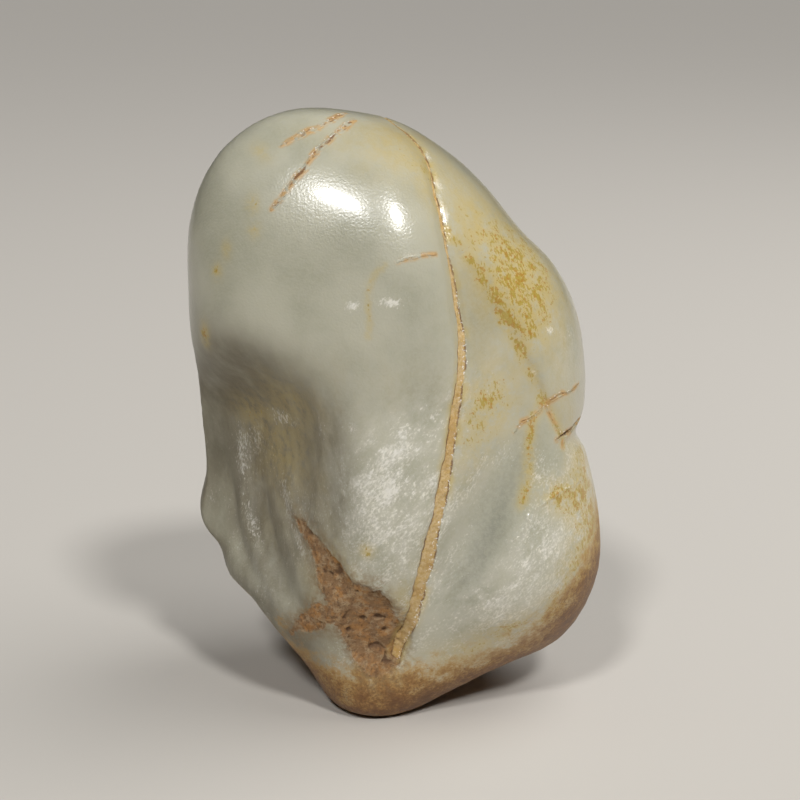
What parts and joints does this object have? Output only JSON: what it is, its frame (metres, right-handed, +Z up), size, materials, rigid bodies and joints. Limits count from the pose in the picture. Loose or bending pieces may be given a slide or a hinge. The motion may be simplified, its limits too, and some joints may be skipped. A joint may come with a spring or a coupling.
{
  "type": "raw jade boulder",
  "caption": "Tall water-worn nephrite boulder with a clay-filled seam down its broad face and a russet-stained tip; a loose display or carving stone that stands on a small worn flat.",
  "frame": {"origin": "under the middle of the stone's bounding box, on the surface that it stands on", "axes": "+Z up along the stone's length, -Y out of the broad face that carries the seam, +X to the right when that face is looked at"},
  "size_m": [0.148, 0.115, 0.2161],
  "materials": {
    "jade": "satin"
  },
  "bodies": {
    "root": {"jade_boulder": "jade"}
  },
  "joints": []
}
